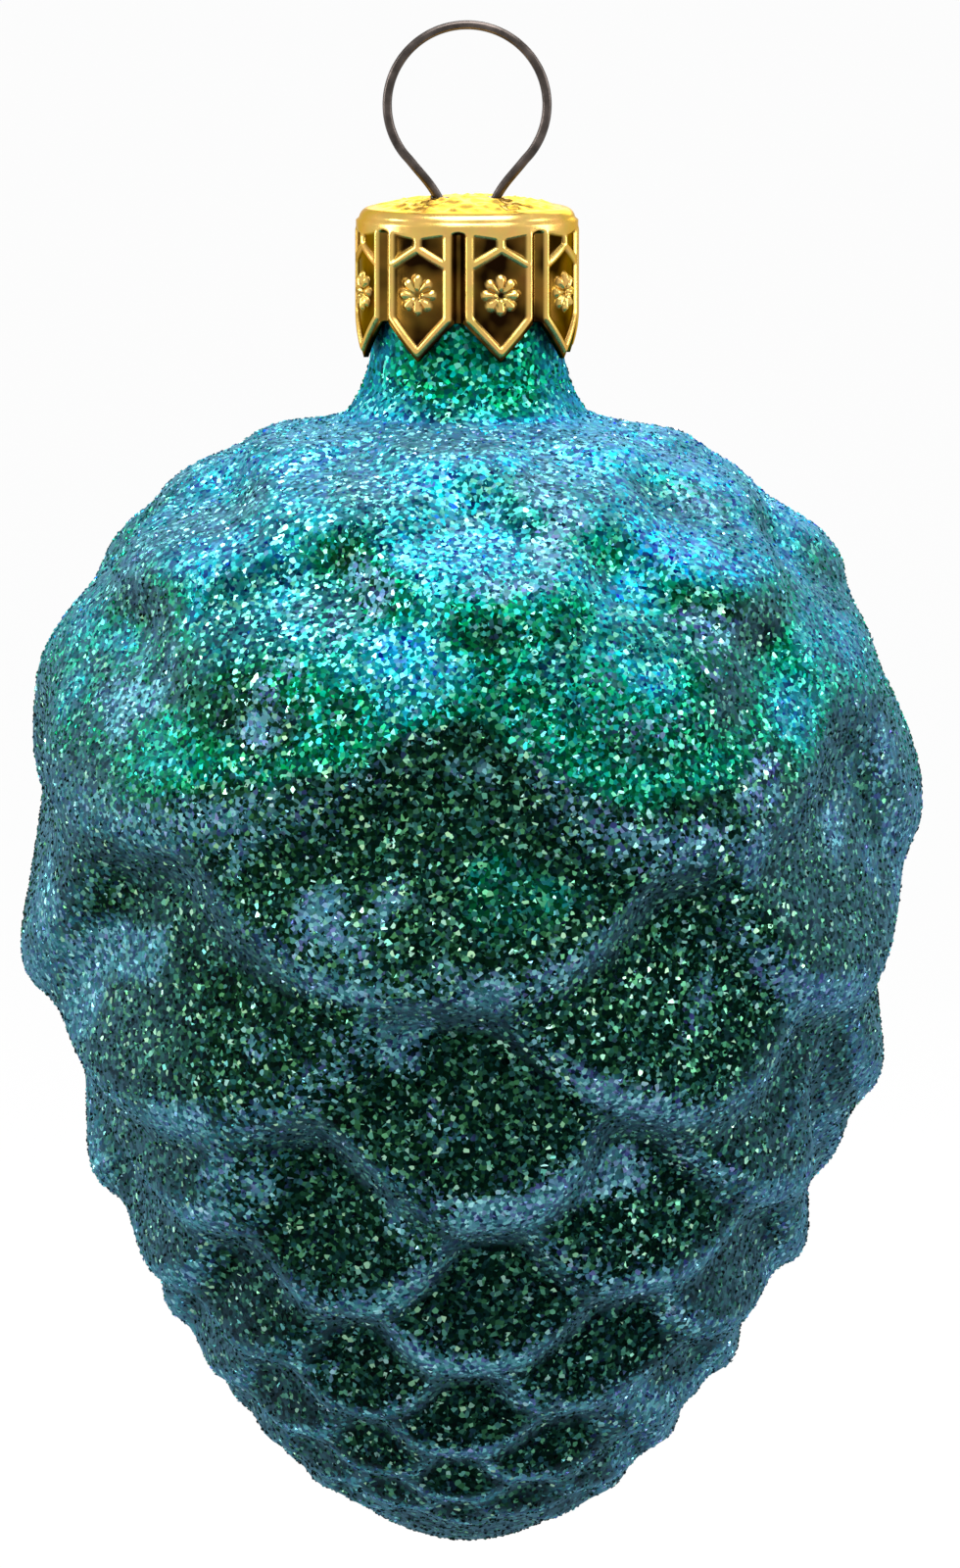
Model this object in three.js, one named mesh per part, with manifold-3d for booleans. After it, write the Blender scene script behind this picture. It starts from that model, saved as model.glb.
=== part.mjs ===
// Glass pine cone ornament: a mould-blown hollow glass cone with an open neck, a stamped crown cap
// that is crimped over the neck, and a spring wire hanger whose ring the ornament hangs by.
// Millimetres, +Z up, front towards -Y. The origin is the point inside the top of the ring
// where a hook or a thread carries the ornament.
import * as THREE from "three";
import { mergeVertices } from "three/addons/utils/BufferGeometryUtils.js";
import Module from "manifold-3d";

const wasm = await Module();
wasm.setup();

// Running gap between pieces that touch on the real ornament
const GAP = 0.3;

// Hanger: one spring wire, bent to a ring and two legs
const WIRE_D = 0.55;
const RING_R = 4.65; // to the middle of the wire
const RING_OPENING = 45; // degrees each side of the bottom where the legs leave the circle
const LEG_WAIST = 1.3; // half the distance between the legs where they turn outwards again
const LEG_SPREAD = [1, 0.7, 0.22, 0]; // the legs from their feet up: shares of the way outwards
const LEG_DEPTH = [7.4, 5.2, 2.7, 1.1]; // and depths below the holes in the cap

// Crown cap: thin brass sheet, eight pointed panels
const SHEET = 0.35;
const CAP_TOP_Z = -9.7; // top of the dome
const DOME_RISE = 0.6;
const DISC_R = 5.6;
const CAP_R = 6.32; // face of the panels, before their embossing
const BRIM_DROP = 0.75;
const PANELS = 8;
const PANEL_TURN = 18; // degrees from the front to the middle of the first panel
const PANEL_POINT = 8.65; // from the disc's edge down to the points
const PANEL_VALLEY = 6.4; // from the disc's edge down to the notches between panels
const GROOVE_DEPTH = 0.24;
const FRAME_RISE = 0.2; // raised hexagon outline on each panel
const FRAME_W = 0.62;
const BOSS_R = 1.05; // flower boss inside the hexagon
const BOSS_RISE = 0.16;
const HOLE_X = 1.62; // the two wire holes lie on the X axis

// Glass: neck, body and wall
const NECK_R = 5.6;
const NECK_LENGTH = 11.4;
const NECK_FLARE = 1.5; // extra radius where the neck runs into the shoulder
const FLARE_SHARE = 0.38; // of the neck's length
const FLARE_CURVE = 2.2; // power of the flare's curve
const BELLY_R = 24.1;
const BELLY_DROP = 20.65; // from the neck's foot down to the widest place
const TAPER_LENGTH = 45.6; // from the widest place down to the tip
const SHOULDER_REACH = 5.4; // handles of the two curves of the outline
const SHOULDER_SLOPE = 1.85;
const BELLY_ROUND_UP = 12.8;
const BELLY_ROUND_DOWN = 14.4;
const TIP_ROUND = 13.6;
const WALL = 0.9;

// Scales: rows of rounded tongues that overlap like roof tiles and point at the tip. Distances are
// measured along the outline from the tip. Each row has the place of its rims, how far they stand
// out, the share of a scale's length that a rim's rounded face takes, and a turn in scales.
const UPPER_ROWS = [
  { rim: 75, rise: 2.6, roll: 0.7, scales: 7, turn: 0 },
  { rim: 70, rise: 3.2, roll: 0.7, scales: 7, turn: 0.5 },
  { rim: 64.5, rise: 3.8, roll: 0.7, scales: 7, turn: 0 },
  { rim: 57.5, rise: 3.4, roll: 0.7, scales: 7, turn: 0.5 },
  { rim: 50.2, rise: 4.6, roll: 0.5, scales: 5, turn: 0.5 },
  { rim: 41.9, rise: 5.2, roll: 0.34, scales: 5, turn: 0 },
  { rim: 34.9, rise: 5.2, roll: 0.34, scales: 5, turn: 0.5 },
];
const FIRST_LENGTH = 10.4; // of the scales in the two highest rows
const LOW_ROWS = 9;
const LOW_RIM = 29.1; // highest of the lower rows
const RIM_RATIO = 0.834; // each of them lies this much nearer to the tip than the one above
const RISE_SLOPE = 0.17; // their rise, per millimetre from the tip
const LOW_ROLL = 0.4;
const LOW_SCALES = 7;
const HALF_WIDTH = 0.56; // of a scale, in its row's pitch
const SIDE_ROUND = 0.75; // power of the roundness across a scale
const RIM_CURVE = [0.45, 0.7]; // how far the rim runs up at the sides, squared and fourth power
const BACK_FALL = 1.6; // power of the fall from the rim back into the body
const SHOULDER_FADE = 6; // the scales rise from nothing over this length below the neck,
const TIP_FADE = [1, 5]; // and die away between these distances from the tip
const WANDER = 0.8; // a hand-cut mould is uneven: the rims wander along the body
const WANDER_WAVE = 9;
const TWIST = 4; // degrees that they wander round it
const TWIST_WAVE = 6;
const LEAN = 14; // degrees that the upper rows are turned on at the two sides,
const LOW_LEAN = -7; // and the lower rows
const LEAN_FROM = [29, 38]; // between these distances from the tip the one turns into the other
const SOFTNESS = 0.8; // the glass rounds off what is sharper than this in the mould

const TAU = Math.PI * 2;
const OUTER_AROUND = 70; // a multiple of 5 and of 7, so that the scales of a row are cut alike
const INNER_AROUND = 30;
const INNER_RELIEF = 0.3; // the inside follows the scales only softly
const INNER_SOFTNESS = 1.8;
const OUTER_STEP = 1.6; // from one ring of faces to the next
const INNER_STEP = 4.4;
const EVEN_ABOVE = 34; // from here to the tip the steps shorten, to this share of themselves
const FINEST_STEP = 0.6;
const LAST_RING = 2.2;

// Sizes that follow from the ones above
const discEdgeZ = CAP_TOP_Z - DOME_RISE;
const neckTopZ = discEdgeZ - SHEET - GAP;
const neckFootZ = neckTopZ - NECK_LENGTH;
const neckFootR = NECK_R + NECK_FLARE;
const bellyZ = neckFootZ - BELLY_DROP;
const tipZ = bellyZ - TAPER_LENGTH;
const ringZ = -(RING_R - WIRE_D / 2);
const capBoreR = NECK_R + GAP + 0.05;
const neckBoreR = NECK_R - WALL;

const toRad = THREE.MathUtils.degToRad;

// A point at a radius, at degrees from the front (-Y) towards +X.
function around(radius, degrees, z) {
  const a = toRad(degrees);
  return new THREE.Vector3(radius * Math.sin(a), -radius * Math.cos(a), z);
}

// A closed skin through rings of points, listed from the top down, with a pole at each end.
function skin(topPole, rings, bottomPole) {
  const n = rings[0].length;
  const points = [topPole, ...rings.flat(), bottomPole];
  const last = points.length - 1;
  const index = [];
  for (let i = 0; i < n; i++) {
    const j = (i + 1) % n;
    index.push(0, 1 + i, 1 + j);
    index.push(last, last - n + j, last - n + i);
    for (let k = 0; k < rings.length - 1; k++) {
      const a = 1 + k * n;
      const b = a + n;
      index.push(a + i, b + i, b + j, a + i, b + j, a + j);
    }
  }
  const geometry = new THREE.BufferGeometry().setFromPoints(points);
  geometry.setIndex(index);
  return geometry;
}

// A three.js geometry as a solid that can be cut.
function solid(geometry) {
  const bare = geometry.clone();
  bare.deleteAttribute("normal");
  bare.deleteAttribute("uv");
  const merged = mergeVertices(bare, 1e-4);
  return new wasm.Manifold(
    new wasm.Mesh({
      numProp: 3,
      vertProperties: new Float32Array(merged.attributes.position.array),
      triVerts: new Uint32Array(merged.index.array),
    }),
  );
}

// A cut solid as a geometry with flat faces.
function faces(cut) {
  const mesh = cut.getMesh();
  const geometry = new THREE.BufferGeometry();
  geometry.setAttribute("position", new THREE.BufferAttribute(mesh.vertProperties, 3));
  geometry.setIndex(new THREE.BufferAttribute(mesh.triVerts, 1));
  const flat = geometry.toNonIndexed();
  flat.computeVertexNormals();
  return flat;
}

// The smooth outline under the scales, from the neck's foot to the tip, with the distance
// along it. x is the radius and y the height.
const outline = new THREE.CurvePath();
outline.add(
  new THREE.CubicBezierCurve(
    new THREE.Vector2(neckFootR, neckFootZ),
    new THREE.Vector2(neckFootR + SHOULDER_REACH, neckFootZ - SHOULDER_SLOPE),
    new THREE.Vector2(BELLY_R, bellyZ + BELLY_ROUND_UP),
    new THREE.Vector2(BELLY_R, bellyZ),
  ),
);
outline.add(
  new THREE.CubicBezierCurve(
    new THREE.Vector2(BELLY_R, bellyZ),
    new THREE.Vector2(BELLY_R, bellyZ - BELLY_ROUND_DOWN),
    new THREE.Vector2(TIP_ROUND, tipZ),
    new THREE.Vector2(0, tipZ),
  ),
);
const outlineLength = outline.getLength();

// Point and outward normal of the outline at a distance from the tip.
function outlineAt(fromTip) {
  const t = THREE.MathUtils.clamp(1 - fromTip / outlineLength, 0, 1);
  const point = outline.getPointAt(t);
  const along = outline.getTangentAt(t);
  return { point, normal: new THREE.Vector2(-along.y, along.x) };
}

// All the rows of scales from the shoulder down, with the pitch and length of their scales.
const lowRows = Array.from({ length: LOW_ROWS }, (_, i) => {
  const rim = LOW_RIM * RIM_RATIO ** i;
  return { rim, rise: RISE_SLOPE * rim, roll: LOW_ROLL, scales: LOW_SCALES, turn: (i % 2) / 2 };
});
const rows = [...UPPER_ROWS, ...lowRows].map((row, i, all) => ({
  ...row,
  pitch: 360 / row.scales,
  length: i < 2 ? FIRST_LENGTH : all[i - 2].rim - row.rim,
}));

// Height of one tongue above the outline, as a share of its rise: a rim rounded like a quarter
// of an ellipse, and a back that falls into the body. across is -1 to 1 from side to side. up is
// the distance above the rim's lowest point and roll the rim's face, as shares of the length.
function tongue(across, up, roll) {
  const t = up - RIM_CURVE[0] * across ** 2 - RIM_CURVE[1] * across ** 4;
  if (t >= 1 || t <= 0) return 0;
  const rim = Math.sqrt(1 - (1 - Math.min(t / roll, 1)) ** 2);
  return rim * (1 - t) ** BACK_FALL * (1 - across ** 2) ** SIDE_ROUND;
}

// Height of the whole relief at a distance from the tip and an angle: the tongues' blended
// maximum.
const BLEND = 4.5;
function relief(fromTip, degrees) {
  const distance = fromTip + WANDER * Math.sin(2 * toRad(degrees) + fromTip / WANDER_WAVE);
  const { lerp, smoothstep } = THREE.MathUtils;
  const lean = lerp(LOW_LEAN, LEAN, smoothstep(fromTip, ...LEAN_FROM));
  const twisted =
    degrees + TWIST * Math.sin(fromTip / TWIST_WAVE) + lean * Math.sin(toRad(degrees)) ** 2;
  let sum = 0;
  for (const row of rows) {
    const up = (distance - row.rim) / row.length;
    if (up < 0 || up > 1 + RIM_CURVE[0] + RIM_CURVE[1]) continue;
    for (let i = 0; i < row.scales; i++) {
      const turned = twisted - (row.turn + i) * row.pitch;
      const away = THREE.MathUtils.euclideanModulo(turned + 180, 360) - 180;
      const across = away / (HALF_WIDTH * row.pitch);
      if (Math.abs(across) < 1) sum += (row.rise * tongue(across, up, row.roll)) ** BLEND;
    }
  }
  const fade =
    smoothstep(outlineLength - fromTip, 0, SHOULDER_FADE) * smoothstep(fromTip, ...TIP_FADE);
  return fade * sum ** (1 / BLEND);
}

// The relief as the glass takes it: the mean of four places around, one softness away.
function softRelief(fromTip, degrees, radius, softness) {
  const turn = THREE.MathUtils.radToDeg(softness / Math.max(radius, softness));
  const sum =
    relief(fromTip - softness, degrees) +
    relief(fromTip + softness, degrees) +
    relief(fromTip, degrees - turn) +
    relief(fromTip, degrees + turn);
  return sum / 4;
}

// Distances from the tip at which the skin is cut into rings, from the top down. The steps
// are even on the upper part and shorten towards the tip, where the scales are small.
function ringDistances(step) {
  const distances = [];
  let fromTip = outlineLength;
  while (fromTip > LAST_RING) {
    distances.push(fromTip);
    fromTip -= step * THREE.MathUtils.clamp(fromTip / EVEN_ABOVE, FINEST_STEP, 1);
  }
  return distances;
}

const angles = (count) => Array.from({ length: count }, (_, i) => (360 * i) / count);

// Rings of the glass surface, offset inwards by a wall, with a share of the relief on it.
function bodyRings(count, distances, wall, share, softness) {
  return distances.map((fromTip) => {
    const { point, normal } = outlineAt(fromTip);
    return angles(count).map((a) => {
      const out = share * softRelief(fromTip, a, point.x, softness) - wall;
      return around(point.x + normal.x * out, a, point.y + normal.y * out);
    });
  });
}

// Rings of the neck from its flare's top down to its foot, where it meets the shoulder.
const FLARE_RINGS = 5;
function neckRings(count, wall) {
  const top = neckFootZ + FLARE_SHARE * NECK_LENGTH;
  return Array.from({ length: FLARE_RINGS }, (_, k) => {
    const t = k / FLARE_RINGS;
    const z = THREE.MathUtils.lerp(top, neckFootZ, t) - wall * t;
    const r = NECK_R + NECK_FLARE * t ** FLARE_CURVE - wall;
    return angles(count).map((a) => around(r, a, z));
  });
}

function makeGlass() {
  const mouth = (count, r, z) => angles(count).map((a) => around(r, a, z));
  const outer = skin(
    new THREE.Vector3(0, 0, neckTopZ),
    [
      mouth(OUTER_AROUND, NECK_R, neckTopZ),
      ...neckRings(OUTER_AROUND, 0),
      ...bodyRings(OUTER_AROUND, ringDistances(OUTER_STEP), 0, 1, SOFTNESS),
    ],
    new THREE.Vector3(0, 0, tipZ),
  );
  const above = neckTopZ + 1;
  const inner = skin(
    new THREE.Vector3(0, 0, above),
    [
      mouth(INNER_AROUND, neckBoreR, above),
      ...neckRings(INNER_AROUND, WALL),
      ...bodyRings(INNER_AROUND, ringDistances(INNER_STEP), WALL, INNER_RELIEF, INNER_SOFTNESS),
    ],
    new THREE.Vector3(0, 0, tipZ + WALL),
  );
  return faces(solid(outer).subtract(solid(inner)));
}

// The hexagon on each panel, in millimetres from the panel's middle line and down from the
// disc's edge: a gable on top, straight sides and a point below, with a stem up to the brim.
const panelHalf = (Math.PI * CAP_R) / PANELS;
const frameSide = 0.74 * panelHalf;
const gableTop = 2.05;
const gableFoot = 3.1;
const pointInset = 0.55; // from the sheet's pointed edge up to the middle of the frame
const frameLines = [
  [[0, BRIM_DROP], [0, gableTop]],
  [[0, gableTop], [frameSide, gableFoot]],
  [[frameSide, BRIM_DROP], [frameSide, PANEL_VALLEY - pointInset / 2]],
  [[frameSide, PANEL_VALLEY - pointInset / 2], [0, PANEL_POINT - pointInset]],
];

function toLine(x, y, [[ax, ay], [bx, by]]) {
  const dx = bx - ax;
  const dy = by - ay;
  const along = ((x - ax) * dx + (y - ay) * dy) / (dx * dx + dy * dy);
  const t = THREE.MathUtils.clamp(along, 0, 1);
  return Math.hypot(x - ax - t * dx, y - ay - t * dy);
}

// How far the cap's face stands out at a place on a panel.
function emboss(x, drop) {
  const side = Math.abs(x);
  const groove = THREE.MathUtils.smoothstep(side, 0.82 * panelHalf, 0.97 * panelHalf);
  const nearest = Math.min(...frameLines.map((line) => toLine(side, drop, line)));
  const frame = Math.max(0, 1 - nearest / (FRAME_W / 2));
  const bossDrop = (gableFoot + PANEL_VALLEY) / 2;
  const boss = Math.max(0, 1 - (Math.hypot(x, drop - bossDrop) / BOSS_R) ** 2);
  return FRAME_RISE * frame + BOSS_RISE * boss - GROOVE_DEPTH * groove;
}

// Drop of the cap's lower edge: straight sides to a pencil point on each panel.
function lowerEdge(side) {
  const t = Math.min(side / (0.88 * panelHalf), 1);
  return THREE.MathUtils.lerp(PANEL_POINT, PANEL_VALLEY, t);
}

function makeCap() {
  // Lines down each panel: its groove, its edge, the frame's crest and foot, and the face
  const sides = [0.3, 0.56, 0.74, 0.88].map((share) => share * panelHalf);
  const lines = [-panelHalf, ...sides.map((s) => -s).reverse(), 0, ...sides];
  const columns = [];
  for (let p = 0; p < PANELS; p++) {
    for (const x of lines) {
      columns.push({ x, degrees: PANEL_TURN + (360 / PANELS) * (p + x / (2 * panelHalf)) });
    }
  }
  const gable = (side) =>
    THREE.MathUtils.lerp(gableTop, gableFoot, Math.min(side / frameSide, 1));
  const half = FRAME_W / 2;
  const levels = [
    () => BRIM_DROP + 0.12,
    (side) => gable(side) - half * 1.25,
    (side) => gable(side),
    (side) => gable(side) + half * 1.25,
    () => (gableFoot + PANEL_VALLEY) / 2 - BOSS_R / 2,
    () => (gableFoot + PANEL_VALLEY) / 2,
    (side) => THREE.MathUtils.lerp(PANEL_VALLEY, lowerEdge(side), 0.3) - 2.4 * pointInset,
    (side) => lowerEdge(side) - pointInset - half * 1.1,
    (side) => lowerEdge(side) - pointInset,
    (side) => lowerEdge(side),
  ];
  const disc = (r) => {
    const z = CAP_TOP_Z - DOME_RISE * (r / DISC_R) ** 2;
    return columns.map((c) => around(r, c.degrees, z));
  };
  const brim = (t) => {
    const r = DISC_R + (CAP_R - DISC_R) * Math.sin((t * Math.PI) / 2);
    const drop = BRIM_DROP * (1 - Math.cos((t * Math.PI) / 2));
    return columns.map((c) => around(r, c.degrees, discEdgeZ - drop));
  };
  const skirt = levels.map((level) =>
    columns.map((c) => {
      const drop = level(Math.abs(c.x));
      return around(CAP_R + emboss(c.x, drop), c.degrees, discEdgeZ - drop);
    }),
  );
  const shell = skin(
    new THREE.Vector3(0, 0, CAP_TOP_Z),
    [disc(DISC_R * 0.6), disc(DISC_R), brim(0.5), ...skirt],
    new THREE.Vector3(0, 0, discEdgeZ - PANEL_VALLEY),
  );
  // The inside: a plain bore that stops one sheet below the disc
  const ceiling = discEdgeZ - SHEET;
  const below = discEdgeZ - PANEL_POINT - 1;
  const bore = skin(
    new THREE.Vector3(0, 0, ceiling),
    [ceiling, below].map((z) => columns.map((c) => around(capBoreR, c.degrees, z))),
    new THREE.Vector3(0, 0, below),
  );
  let cap = solid(shell).subtract(solid(bore));
  const holeR = WIRE_D / 2 + GAP;
  for (const side of [-1, 1]) {
    const hole = new THREE.CylinderGeometry(holeR, holeR, 4, 14);
    hole.rotateX(Math.PI / 2);
    hole.translate(side * HOLE_X, 0, discEdgeZ);
    cap = cap.subtract(solid(hole));
  }
  return faces(cap);
}

// The wire's middle line: up one leg from inside the neck, round the ring, and down the other.
function makeHanger() {
  const footX = neckBoreR - GAP - WIRE_D / 2 - 0.05;
  const holeZ = CAP_TOP_Z - DOME_RISE * (HOLE_X / DISC_R) ** 2 - SHEET / 2;
  const leg = LEG_DEPTH.map((depth, i) => [
    THREE.MathUtils.lerp(LEG_WAIST, footX, LEG_SPREAD[i]),
    holeZ - depth,
  ]);
  leg.push([HOLE_X, holeZ]);
  const points = leg.map(([x, z]) => new THREE.Vector3(x, 0, z));
  const arcSteps = 18;
  for (let i = 0; i <= arcSteps; i++) {
    const a = toRad(THREE.MathUtils.lerp(RING_OPENING, 360 - RING_OPENING, i / arcSteps));
    points.push(new THREE.Vector3(RING_R * Math.sin(a), 0, ringZ - RING_R * Math.cos(a)));
  }
  points.push(...leg.map(([x, z]) => new THREE.Vector3(-x, 0, z)).reverse());
  const section = new THREE.Shape();
  section.absarc(0, 0, WIRE_D / 2, 0, TAU, false);
  return new THREE.ExtrudeGeometry(section, {
    steps: 72,
    curveSegments: 4, // eight sides
    bevelEnabled: false,
    extrudePath: new THREE.CatmullRomCurve3(points, false, "centripetal"),
  });
}

function piece(name, geometry, material) {
  const mesh = new THREE.Mesh(geometry, new THREE.MeshStandardMaterial(material));
  mesh.name = name;
  return mesh;
}

const ornament = new THREE.Group();
ornament.add(
  piece("hanger_wire", makeHanger(), { color: 0x5b5552, roughness: 0.35, metalness: 1 }),
  piece("crown_cap", makeCap(), { color: 0xe2b85a, roughness: 0.25, metalness: 1 }),
  piece("glass_cone", makeGlass(), { color: 0x1f7f86, roughness: 0.55, metalness: 0.4 }),
);

export default ornament;
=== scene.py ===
from math import atan2, cos, hypot, pi, radians, sin, tau

import bmesh
import bpy
from mathutils import Euler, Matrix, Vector


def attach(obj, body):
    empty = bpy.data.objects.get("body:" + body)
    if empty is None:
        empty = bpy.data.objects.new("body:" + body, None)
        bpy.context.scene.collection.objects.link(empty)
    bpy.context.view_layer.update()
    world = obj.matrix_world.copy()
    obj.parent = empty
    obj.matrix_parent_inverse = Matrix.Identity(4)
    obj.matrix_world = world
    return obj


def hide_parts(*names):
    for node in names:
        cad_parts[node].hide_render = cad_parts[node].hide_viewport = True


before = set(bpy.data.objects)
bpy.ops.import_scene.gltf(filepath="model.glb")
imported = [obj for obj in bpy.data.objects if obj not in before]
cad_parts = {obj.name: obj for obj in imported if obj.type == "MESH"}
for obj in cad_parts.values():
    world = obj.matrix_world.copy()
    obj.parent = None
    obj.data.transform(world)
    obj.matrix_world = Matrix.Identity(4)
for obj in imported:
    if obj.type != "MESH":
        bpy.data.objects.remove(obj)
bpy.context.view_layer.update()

# ---- Studio -------------------------------------------------------------------------------
# A pale matt floor well below the hanging ornament, a white background, and plain soft light:
# one large soft box overhead, one to each side and one behind, in a dim room.
MM = 0.001
FLOOR_Z = -135 * MM
FLOOR_HALF = 6.0
FLOOR_WHITE = 0.95  # share of plain white in what the camera sees of the floor; its shadow stays


def linear(code):
    """An sRGB hex colour as linear RGBA."""
    values = [int(code[i:i + 2], 16) / 255 for i in (1, 3, 5)]
    return [v / 12.92 if v <= 0.04045 else ((v + 0.055) / 1.055) ** 2.4 for v in values] + [1]


def add(tree, kind, *values, named=None, stops=None, **settings):
    """A node with its settings. Inputs are given in order or by name: a value, a socket, or a
    node, whose first output is linked. Stops are a ramp's positions and hex colours."""
    node = tree.nodes.new(kind)
    for name, value in settings.items():
        setattr(node, name, value)
    for key, value in [*enumerate(values), *(named or {}).items()]:
        if isinstance(value, bpy.types.Node):
            value = value.outputs[0]
        if isinstance(value, bpy.types.NodeSocket):
            tree.links.new(value, node.inputs[key])
        else:
            node.inputs[key].default_value = value
    for i, (position, code) in enumerate(stops or []):
        elements = node.color_ramp.elements
        element = elements[i] if i < len(elements) else elements.new(position)
        element.position, element.color = position, linear(code)
    return node


def new_material(name):
    material = bpy.data.materials.new(name)
    material.use_nodes = True
    material.node_tree.nodes.clear()
    return material, material.node_tree


def seen_share(tree):
    """1 where the camera looks, straight or by way of gloss or glass, and 0 for other light."""
    path = add(tree, "ShaderNodeLightPath")
    seen = path.outputs["Is Camera Ray"]
    for kind in ("Is Transmission Ray", "Is Glossy Ray"):
        seen = add(tree, "ShaderNodeMath", seen, path.outputs[kind], operation="MAXIMUM")
    return seen


scene = bpy.context.scene
scene.view_settings.view_transform = "Standard"

corners = [(x * FLOOR_HALF, y * FLOOR_HALF, FLOOR_Z)
           for x, y in ((-1, -1), (1, -1), (1, 1), (-1, 1))]
floor_mesh = bpy.data.meshes.new("floor")
floor_mesh.from_pydata(corners, [], [(0, 1, 2, 3)])
floor = bpy.data.objects.new("floor", floor_mesh)
scene.collection.objects.link(floor)

# Matt floor paint: an even pale ground with no shine
floor_paint, nodes = new_material("matt white floor paint")
whiteness = add(nodes, "ShaderNodeMath", seen_share(nodes), FLOOR_WHITE, operation="MULTIPLY")
paint = add(nodes, "ShaderNodeBsdfDiffuse", linear("#E6E6E6"))
glow = add(nodes, "ShaderNodeEmission", linear("#FFFFFF"), 1.0)
add(nodes, "ShaderNodeOutputMaterial", add(nodes, "ShaderNodeMixShader", whiteness, paint, glow))
floor_mesh.materials.append(floor_paint)

world = bpy.data.worlds.new("studio room")
scene.world = world
world.use_nodes = True
nodes = world.node_tree
nodes.nodes.clear()
ray = add(nodes, "ShaderNodeTexCoord")
upwards = add(nodes, "ShaderNodeSeparateXYZ", ray.outputs["Generated"])
lift = add(nodes, "ShaderNodeMapRange", upwards.outputs["Z"], -1.0, 1.0)
walls = add(nodes, "ShaderNodeValToRGB", lift,
            stops=[(0, "#6E6E6E"), (0.4, "#3A3A3A"), (0.55, "#383838"), (0.75, "#A8ACB0"),
                   (1, "#FFFFFF")])
room = add(nodes, "ShaderNodeBackground", walls, 1.0)
white = add(nodes, "ShaderNodeBackground", linear("#FFFFFF"), 1.0)
add(nodes, "ShaderNodeOutputWorld",
    add(nodes, "ShaderNodeMixShader", seen_share(nodes), room, white))

AIM = Vector((0, 0, -45 * MM))
# Name, place, width, height and power
SOFT_BOXES = [
    ("soft box overhead", (0.03, -0.10, 0.42), 0.44, 0.30, 4.6),
    ("soft box left", (-0.50, -0.02, 0.10), 0.16, 0.34, 1.8),
    ("soft box right", (0.52, -0.02, 0.10), 0.16, 0.34, 1.5),
    ("soft box behind", (0.10, 0.50, 0.22), 0.40, 0.30, 1.0),
]
for name, place, width, tall, power in SOFT_BOXES:
    light = bpy.data.lights.new(name, "AREA")
    light.shape = "RECTANGLE"
    light.size, light.size_y, light.energy = width, tall, power
    lamp = bpy.data.objects.new(name, light)
    lamp.location = place
    lamp.rotation_euler = (AIM - lamp.location).to_track_quat("-Z", "Y").to_euler()
    scene.collection.objects.link(lamp)

# ---- Camera -------------------------------------------------------------------------------
# A long lens six degrees above the ornament's middle, far enough off that its lines stay
# nearly parallel.
CAMERA_ELEVATION = radians(6)
CAMERA_DISTANCE = 0.95
FRAME_HEIGHT = 91.6 * MM  # of the picture, at the ornament
FRAME_MIDDLE = Vector((0.75 * MM, 0, -44.1 * MM))
lens = bpy.data.cameras.new("long lens")
lens.sensor_fit = "VERTICAL"
lens.sensor_height = 36
lens.lens = lens.sensor_height * CAMERA_DISTANCE / FRAME_HEIGHT
lens.clip_start = 0.01
camera = bpy.data.objects.new("camera", lens)
camera.location = FRAME_MIDDLE + CAMERA_DISTANCE * Vector(
    (0, -cos(CAMERA_ELEVATION), sin(CAMERA_ELEVATION)))
camera.rotation_euler = Euler((pi / 2 - CAMERA_ELEVATION, 0, 0))
scene.collection.objects.link(camera)
scene.camera = camera

# ---- Glass cone ---------------------------------------------------------------------------
# One hollow body of thin glass, blown into a mould so that its rows of scales are part of the
# wall, silvered inside and lacquered outside. Its open neck carries the cap.
# Sizes are in millimetres; heights are counted from the top of the ring's inside
NECK_R, NECK_FLARE, FLARE_POWER = 5.6, 1.5, 2.2
NECK_TOP, FLARE_TOP, NECK_FOOT = -10.95, -18.02, -22.35
BELLY_R, BELLY_Z = 24.1, -43.0
TIP_Z = -88.6
GLASS_WALL = 0.9
# Handles of the outline's two curves, as radius and height
SHOULDER = [(NECK_R + NECK_FLARE, NECK_FOOT), (12.5, -24.2), (BELLY_R, -30.2),
            (BELLY_R, BELLY_Z)]
TAPER = [(BELLY_R, BELLY_Z), (BELLY_R, -57.4), (13.6, TIP_Z), (0, TIP_Z)]
TRACE_STEPS = 400  # along each curve
AROUND = 300  # faces round the body
RING_STEP, NECK_RINGS = 0.36, 34
INSIDE_STEP, INSIDE_NECK_RINGS = 2.6, 8
INSIDE_SHARE = -0.3  # the inside takes this share of the relief, and its normal points inwards
POLE_R = 0.4  # the rings end here, and a point closes the tip


def on_curve(handles, t):
    """Point and direction of a cubic curve in the plane of radius and height."""
    a, b, c, d = (Vector(h) for h in handles)
    s = 1 - t
    point = s ** 3 * a + 3 * s * s * t * b + 3 * s * t * t * c + t ** 3 * d
    return point, (s * s * (b - a) + 2 * s * t * (c - b) + t * t * (d - c)).normalized()


trace = [on_curve(curve, i / TRACE_STEPS)
         for curve in (SHOULDER, TAPER) for i in range(TRACE_STEPS + 1)]
run = [0.0]
for (before, _), (after, _) in zip(trace, trace[1:]):
    run.append(run[-1] + (after - before).length)
OUTLINE_LENGTH = run[-1]


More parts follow.
